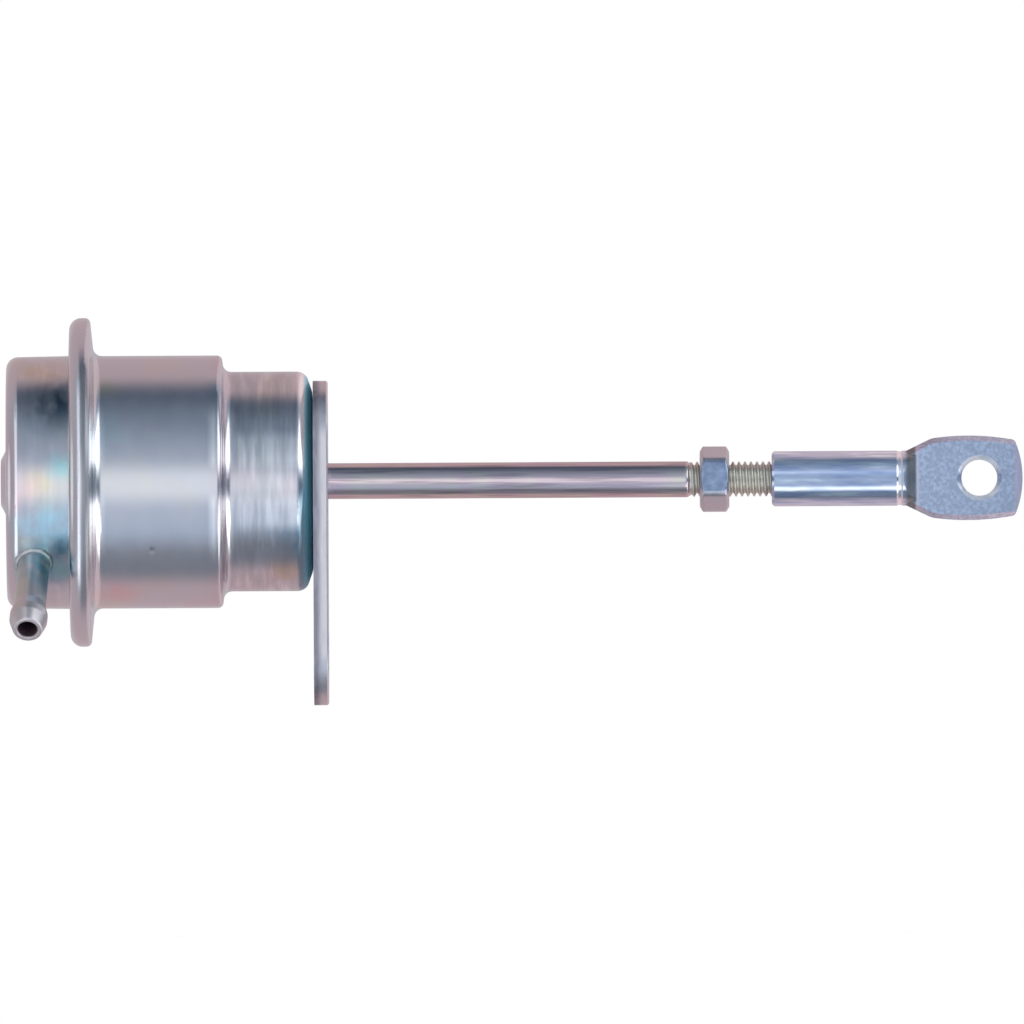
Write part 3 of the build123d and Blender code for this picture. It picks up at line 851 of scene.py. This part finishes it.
class OBJECT_OT_actuator_nipple(bpy.types.Operator):
    """Turn the barbed hose nipple and lay the braze round its foot"""

    bl_idname = "object.actuator_nipple"
    bl_label = "Hose nipple"

    def execute(self, context):
        settings = context.scene.actuator_nipple
        place = nipple_place(settings)
        mouth = COVER_RADIUS + settings.reach
        land_end = mouth - settings.barb_lead
        land_start = land_end - settings.barb_land
        inner, chamfer = COVER_RADIUS - 2.2 * MM, settings.mouth_chamfer
        outline = rounded(
            [
                (inner, settings.bore_radius, 0),
                (inner, settings.radius, 0.1 * MM),
                (land_start - settings.barb_rise, settings.radius, 3.0 * MM),
                (land_start, settings.barb_radius, 1.2 * MM),
                (land_end, settings.barb_radius, 0.8 * MM),
                (mouth, settings.mouth_radius, 0.4 * MM),
                (mouth, settings.bore_radius + chamfer, 0.08 * MM),
                (mouth - chamfer, settings.bore_radius, 0.08 * MM),
                (inner, settings.bore_radius, 0),
            ],
            8,
        )[:-1]
        segments = 96
        points = turned_points(outline, segments, place)
        faces = grid_faces(len(outline), segments, close_rows=True, close_columns=True)
        bead_points, bead_faces = braze_bead(settings, place, len(points))
        points, faces = np.concatenate([points, bead_points]), faces + bead_faces
        piece = mesh_object("hose_nipple_turned", points, faces)
        mark_bore(piece.data, place, settings.bore_radius + 0.1 * MM)
        material = nipple_zinc("zinc plate on turned and brazed nipple", place, mouth)
        seat(piece, "canister", "hose_nipple", material)
        return {"FINISHED"}


def mark_bore(mesh, place, radius):
    """Give the points of the bore an attribute that the material reads."""
    back = place.inverted()
    away = [math.hypot(*(back @ point.co)[1:]) for point in mesh.vertices]
    inside = [1.0 if distance < radius else 0.0 for distance in away]
    mesh.attributes.new("bore", "FLOAT", "POINT").data.foreach_set("value", inside)


def braze_bead(settings, place, first):
    """Return the points and faces of the bead, which follows the saddle where tube meets cover.

    first is how many points come before the bead's in the mesh."""
    turns, steps = 96, 12
    axis = Vector((0, 0, AXIS_HEIGHT))
    along = place.to_3x3() @ Vector((1, 0, 0))
    flat = Vector((0, along.y, along.z))
    ground = COVER_RADIUS - 0.1 * MM  # the bead's middle lies just inside the cover's wall
    points = []
    rng = np.random.default_rng(4)
    waves = [(k, rng.uniform(0.02, 0.06), rng.uniform(0, 6.28)) for k in (2, 3, 5, 7, 11)]
    for turn in range(turns):
        psi = 2 * math.pi * turn / turns
        swell = 1 + sum(size * math.sin(k * psi + phase) for k, size, phase in waves)
        size = settings.braze * swell
        for step in range(steps):
            around = 2 * math.pi * step / steps
            radius = settings.radius + 0.25 * size + size * 0.85 * math.cos(around)
            ray = place @ Vector((0, radius * math.cos(psi), radius * math.sin(psi)))
            away = Vector((0, ray.y, ray.z)) - axis
            b, a = away.dot(flat), flat.dot(flat)
            reach = (-b + math.sqrt(b * b - a * (away.dot(away) - ground**2))) / a
            lift = size * 0.85 * math.sin(around)
            points.append(tuple(ray + along * (reach + lift)))
    quads = grid_faces(turns, steps, close_rows=True, close_columns=True)
    return np.array(points), [tuple(i + first for i in quad) for quad in quads]


def nipple_zinc(name, place, mouth):
    """Dull zinc plate on the turned nipple, left olive and teal at the foot by the brazing heat.

    The plate hardly reached into the bore, which stays brown."""
    material, add, where = new_material(name)
    foot = place @ Vector((COVER_RADIUS, 0, 0)) / MM
    tip = place @ Vector((mouth - 1.2 * MM, 0, 0)) / MM
    drift = add(RANGE, lumps(add, where, 5), 0.4, 0.6)
    heat = near(add, where, foot + Vector((2.6, -2, -3)), 9)
    ragged = add(MATH, heat, add(RANGE, lumps(add, where, 3), 0.25, 0.55), **TIMES)
    bore = add("ShaderNodeAttribute", attribute_name="bore").outputs["Fac"]
    shade = layered(add, "#c9c6c9", (drift, "#c2c6bd"), (near(add, where, tip, 6), "#d3cbd3"))
    shade = layered(add, shade, (ragged, "#62aabd"), (bore, "#5c4c55"))
    metallic = add(MATH, bore, -0.7, 1.0, **TIMES_PLUS)
    metal(add, shade, 0.4, [(lumps(add, where, 0.5), 0.003)], metallic)
    return material


# The rod and its thread


def rod_shank(settings):
    """Return the points and faces of the rod's plain part, open where the thread starts."""
    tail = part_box("rod")[0].x
    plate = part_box("rivet_washer")[0].x
    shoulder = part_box("piston")[0].x + 1.0 * MM
    outline = rounded(
        [
            (tail, 0, 0),
            (tail, settings.rivet_radius, 0.85 * MM),
            (plate, settings.rivet_radius, 0.02 * MM),
            (plate, settings.tail_radius, 0),
            (shoulder, settings.tail_radius, 0),
            (shoulder, settings.collar_radius, 0.1 * MM),
            (shoulder + 1.5 * MM, settings.collar_radius, 0.15 * MM),
            (shoulder + 1.5 * MM, settings.shank_radius, 0.3 * MM),
            # Rings beside both bends keep the shading straight along the bar
            (shoulder + 2.0 * MM, settings.shank_radius, 0),
            (shoulder + 2.2 * MM, settings.shank_radius, 0),
            (settings.shank_end - 0.9 * MM, settings.shank_radius, 0),
            (settings.shank_end - 0.7 * MM, settings.shank_radius, 0),
            (settings.shank_end - 0.25 * MM, settings.shank_radius, 0.3 * MM),
            (settings.shank_end, settings.thread_radius - THREAD_SINK, 0),
        ]
    )
    place = Matrix.Translation((0, 0, AXIS_HEIGHT))
    points = turned_points(outline, settings.segments, place)
    return points, grid_faces(len(outline), settings.segments, close_columns=True)


def thread_tree():
    """Build the tree that rolls a right-handed thread and joins it to the geometry given."""
    tree = bpy.data.node_groups.new("rolled thread", "GeometryNodeTree")
    lengths = ("Start", "End", "Pitch", "Crest", "Radius", "Depth", "Run-out", "Start Radius")
    for name, kind in [
        ("Geometry", "Geometry"),
        *((name, "Float") for name in (*lengths, "Height")),
        *((name, "Int") for name in ("Segments", "Rows")),
        ("Material", "Material"),
    ]:
        tree.interface.new_socket(name, in_out="INPUT", socket_type="NodeSocket" + kind)
    tree.interface.new_socket("Geometry", in_out="OUTPUT", socket_type="NodeSocketGeometry")
    add = partial(add_node, tree)
    given = add("NodeGroupInput").outputs
    start, end, pitch, depth = (given[name] for name in ("Start", "End", "Pitch", "Depth"))

    # Whole turns that reach past both ends, with the given rows of points to a turn
    turns = add(MATH, add(MATH, end, start, **MINUS), pitch, operation="DIVIDE")
    turns = add(MATH, add(MATH, turns, operation="CEIL"), 3.0, **PLUS)
    rows = add(MATH, add(MATH, turns, given["Rows"], **TIMES), 1.0, **PLUS)
    columns = add(MATH, given["Segments"], 1.0, **PLUS)
    grid = add("GeometryNodeMeshGrid", 1.0, 1.0, rows, columns)
    parts = add(SPLIT, add("GeometryNodeInputPosition")).outputs
    run = add(MATH, add(MATH, parts["X"], 0.5, **PLUS), turns, **TIMES)
    turn = add(MATH, parts["Y"], 0.5, **PLUS)

    # The crest on top of the rod stands at Crest, a quarter turn on from the grid's seam
    first = add(MATH, add(MATH, start, given["Crest"], **MINUS), pitch, operation="DIVIDE")
    first = add(MATH, add(MATH, first, operation="FLOOR"), 1.25, **MINUS)
    base = add(MATH, first, pitch, given["Crest"], **TIMES_PLUS)
    along = add(MATH, add(MATH, run, turn, **PLUS), pitch, base, **TIMES_PLUS)
    along = add(MATH, add(MATH, along, start, **MOST), end, **LEAST)

    # Crest flat an eighth of the pitch and root a quarter of it, with sloping flanks between
    wave = add(MATH, add(MATH, run, operation="FRACT"), 2.0, -1.0, **TIMES_PLUS)
    flank = add(RANGE, add(MATH, wave, **ABSOLUTE), 0.16, 0.92, **SMOOTH)
    grow = add(RANGE, add(MATH, along, start, **MINUS), 0.0, given["Run-out"])
    root = add(MATH, given["Radius"], depth, **MINUS)
    full = add(MATH, flank, depth, root, **TIMES_PLUS)
    faded = add(MATH, add(MATH, full, given["Start Radius"], **MINUS), grow, **TIMES)
    radius = add(MATH, given["Start Radius"], faded, **PLUS)
    # The thread's end is chamfered to just below the root
    left = add(MATH, end, along, **MINUS)
    chamfer = add(MATH, add(MATH, root, 0.05 * MM, **MINUS), left, **PLUS)
    radius = add(MATH, radius, chamfer, **LEAST)
    theta = add(MATH, turn, 2 * math.pi, **TIMES)
    y = add(MATH, radius, add(MATH, theta, operation="COSINE"), **TIMES)
    z = add(MATH, radius, add(MATH, theta, operation="SINE"), given["Height"], **TIMES_PLUS)
    put = add("ShaderNodeCombineXYZ", along, y, z)
    rolled = add("GeometryNodeSetPosition", grid, Position=put)
    joined = add("GeometryNodeJoinGeometry", given["Geometry"])
    tree.links.new(rolled.outputs[0], joined.inputs[0])
    merged = add("GeometryNodeMergeByDistance", joined, Distance=0.0008 * MM)
    real = add("GeometryNodeRealizeInstances", add("GeometryNodeSetShadeSmooth", merged))
    dressed = add("GeometryNodeSetMaterial", real, Material=given["Material"])
    add("NodeGroupOutput", dressed)
    return tree


def rod_zinc(name, colours, thread_start):
    """Zinc plate on drawn bar: mirror-bright with fine lines, and dull olive in the thread."""
    material, add, place = new_material(name)
    # Real drawing lines are finer; these are as fine as the render can show
    lines = lumps(add, place, 0.5, squeeze=(0.04, 1, 1))
    along = add(SPLIT, place).outputs["X"]
    thread = add(RANGE, along, thread_start - 0.2 * MM, thread_start + 0.6 * MM)
    drift = add(RANGE, lumps(add, place, 8), 0.35, 0.6)
    dark = (add(RANGE, lines, 0.5, 0.66, 0, 0.8), [c * 0.62 for c in colours.zinc_rose])
    shade = layered(add, colours.zinc_straw, (drift, colours.zinc_rose), dark)
    shade = layered(add, shade, (thread, colours.thread_zinc))
    dull = add(MIX, thread, add(RANGE, lines, 0.35, 0.65, 0.09, 0.13), 0.38)
    metal(add, shade, dull, [(lines, 0.0008)])
    return material


class OBJECT_OT_actuator_rod(bpy.types.Operator):
    """Turn the rod with its collar and riveted tail, and roll the thread on its end"""

    bl_idname = "object.actuator_rod"
    bl_label = "Rod"

    def execute(self, context):
        settings = context.scene.actuator_rod
        points, faces = rod_shank(settings)
        blank = mesh_object("rod_blank", points, faces)
        colours = context.scene.actuator_finishes
        material = rod_zinc("zinc plate on drawn bar", colours, settings.shank_end)
        tree = thread_tree()
        modifier = blank.modifiers.new("rolled thread", "NODES")
        modifier.node_group = tree
        values = {
            "Start": settings.shank_end,
            "End": settings.thread_end,
            "Pitch": settings.pitch,
            "Crest": settings.crest,
            "Radius": settings.thread_radius,
            "Depth": settings.thread_depth,
            "Run-out": settings.runout,
            "Start Radius": settings.thread_radius - THREAD_SINK,
            "Height": AXIS_HEIGHT,
            "Segments": settings.segments,
            "Rows": 16,
            "Material": material,
        }
        for item in tree.interface.items_tree:
            if item.in_out == "INPUT" and item.name in values:
                modifier[item.identifier] = values[item.name]
        bpy.context.view_layer.update()
        graph = bpy.context.evaluated_depsgraph_get()
        mesh = bpy.data.meshes.new_from_object(blank.evaluated_get(graph))
        mesh.name = "rod_threaded"
        close_holes(mesh)
        piece = new_object("rod_threaded", mesh)
        bpy.data.objects.remove(blank)
        seat(piece, "rod", "rod", material)
        return {"FINISHED"}


def close_holes(mesh):
    """Cap the open ring at the rod's end and point every face outwards."""
    made = bmesh.new()
    made.from_mesh(mesh)
    bmesh.ops.dissolve_degenerate(made, edges=made.edges, dist=0.0005 * MM)
    bmesh.ops.holes_fill(made, edges=[e for e in made.edges if e.is_boundary], sides=0)
    bmesh.ops.recalc_face_normals(made, faces=made.faces)
    made.to_mesh(mesh)
    made.free()
    mesh.polygons.foreach_set("use_smooth", [True] * len(mesh.polygons))


# The jam nut


class OBJECT_OT_actuator_nut(bpy.types.Operator):
    """Form the jam nut, its corners rounded off and chamfered on both faces"""

    bl_idname = "object.actuator_nut"
    bl_label = "Jam nut"

    def execute(self, context):
        settings = context.scene.actuator_nut
        segments, rows = 288, 56
        theta = np.linspace(0, 2 * math.pi, segments, endpoint=False)
        half = settings.thickness / 2
        sixth = math.pi / 3  # a facet's share of the turn
        flats = settings.across_flats / 2 / np.cos((theta + sixth / 2) % sixth - sixth / 2)
        corners = np.full(segments, settings.corner_radius)
        # Rows crowd towards both faces, where the chamfers are
        share = np.sin(np.linspace(-math.pi / 2, math.pi / 2, rows))
        points = []
        for along in share * half:
            cone = settings.face_radius + (half - abs(along)) / math.tan(math.radians(30))
            radius = smooth_least([flats, cone, corners], 0.07 * MM)
            points.append(ring(along + settings.start + half, radius, theta))
        # The faces run in to the bore, whose edges are broken
        inner = [(half, 3.4 * MM), (half - 0.1 * MM, 3.2 * MM)]
        inner.append((half - 0.4 * MM, settings.bore_radius))
        bore = inner + [(-along, radius) for along, radius in reversed(inner)]
        for along, radius in bore:
            points.append(ring(along + settings.start + half, np.full(segments, radius), theta))
        total = rows + len(bore)
        faces = grid_faces(total, segments, close_rows=True, close_columns=True)
        piece = mesh_object("jam_nut_formed", np.concatenate(points), faces)
        colours = context.scene.actuator_finishes
        piece.data.transform(turn_about_axis(settings.turn))
        material = nut_zinc("blue zinc on cold-formed nut", colours, settings)
        seat(piece, "jam_nut", "jam_nut", material)
        return {"FINISHED"}


def nut_zinc(name, colours, settings):
    """Blue-passivated zinc on the cold-formed nut: satin, with the one facet that faces -Y painted
    a deeper blue, painted shade for its darker reflection.
    """
    material, add, place = new_material(name)
    parts = add(SPLIT, place).outputs
    up = add(MATH, parts["Z"], AXIS_HEIGHT, **MINUS)
    out = add(MATH, parts["Y"], -math.cos(settings.turn), **TIMES)
    out = add(MATH, up, -math.sin(settings.turn), out, **TIMES_PLUS)
    flat = settings.across_flats / 2
    # Painted shade: the facet that faces -Y, towards the camera, is laid a deeper blue
    facet = add(RANGE, out, flat - 0.35 * MM, flat - 0.08 * MM)
    drift = lumps(add, place, 1.6, 4)
    rose, plain = add(RANGE, drift, 0.45, 0.75, 0, 0.6), [c * 0.88 for c in colours.zinc]
    deep = layered(add, "#8b9bb4", (add(RANGE, drift, 0.4, 0.7), "#a6b8d4"))
    shade = layered(add, plain, (rose, colours.zinc_rose), (facet, deep))
    dull = add(RANGE, drift, 0.35, 0.65, 0.2, 0.27)
    metal(add, shade, dull, [(lumps(add, place, 0.5, 3), 0.002)])
    return material


def turn_about_axis(turn):
    """Return the matrix that turns a piece round the rod's axis."""
    lift = Matrix.Translation((0, 0, AXIS_HEIGHT))
    return lift @ Matrix.Rotation(turn, 4, "X") @ lift.inverted()


def ring(along, radius, theta):
    """Return the points of one ring round the rod."""
    y, z = radius * np.cos(theta), AXIS_HEIGHT + radius * np.sin(theta)
    return np.stack([np.full(len(theta), along), y, z], axis=1)


def smooth_least(values, blend):
    """Return the least of several radii, rounded where they meet."""
    total = sum(np.exp(-np.asarray(v) / blend) for v in values)
    return -blend * np.log(total)


# The rod end


class OBJECT_OT_actuator_rod_end(bpy.types.Operator):
    """Finish the rod end, forged flat round its eye"""

    bl_idname = "object.actuator_rod_end"
    bl_label = "Rod end"

    def execute(self, context):
        colours = context.scene.actuator_finishes
        zinc = forged_zinc("blue zinc on forged rod end", list(colours.zinc_blue), "#a9b9d8")
        finish("rod_end", zinc)
        return {"FINISHED"}


class VIEW3D_PT_actuator(bpy.types.Panel):
    """Lists the stage and the pieces"""

    bl_label = "Wastegate Actuator"
    bl_idname = "VIEW3D_PT_actuator"
    bl_space_type = "VIEW_3D"
    bl_region_type = "UI"
    bl_category = "Actuator"

    def draw(self, context):
        scene = context.scene
        for operator in OPERATORS:
            self.layout.operator(operator.bl_idname)
        for name in GROUPS:
            group = getattr(scene, name)
            box = self.layout.box()
            for setting in group.bl_rna.properties.keys():
                if setting not in ("rna_type", "name"):
                    box.prop(group, setting)


OPERATORS = (
    OBJECT_OT_actuator_stage,
    OBJECT_OT_actuator_canister,
    OBJECT_OT_actuator_works,
    OBJECT_OT_actuator_nipple,
    OBJECT_OT_actuator_rod,
    OBJECT_OT_actuator_nut,
    OBJECT_OT_actuator_rod_end,
)
GROUPS = {
    "actuator_stage": StageSettings,
    "actuator_finishes": FinishSettings,
    "actuator_rod": RodSettings,
    "actuator_nut": NutSettings,
    "actuator_nipple": NippleSettings,
}


def register():
    for cls in (*GROUPS.values(), *OPERATORS, VIEW3D_PT_actuator):
        bpy.utils.register_class(cls)
    for name, group in GROUPS.items():
        setattr(bpy.types.Scene, name, PointerProperty(type=group))


def unregister():
    for name in GROUPS:
        delattr(bpy.types.Scene, name)
    for cls in reversed((*GROUPS.values(), *OPERATORS, VIEW3D_PT_actuator)):
        bpy.utils.unregister_class(cls)


def main():
    register()
    bpy.ops.object.actuator_stage()
    bpy.ops.object.actuator_canister()
    bpy.ops.object.actuator_works()
    bpy.ops.object.actuator_nipple()
    bpy.ops.object.actuator_rod()
    bpy.ops.object.actuator_nut()
    bpy.ops.object.actuator_rod_end()


if __name__ == "__main__":
    main()
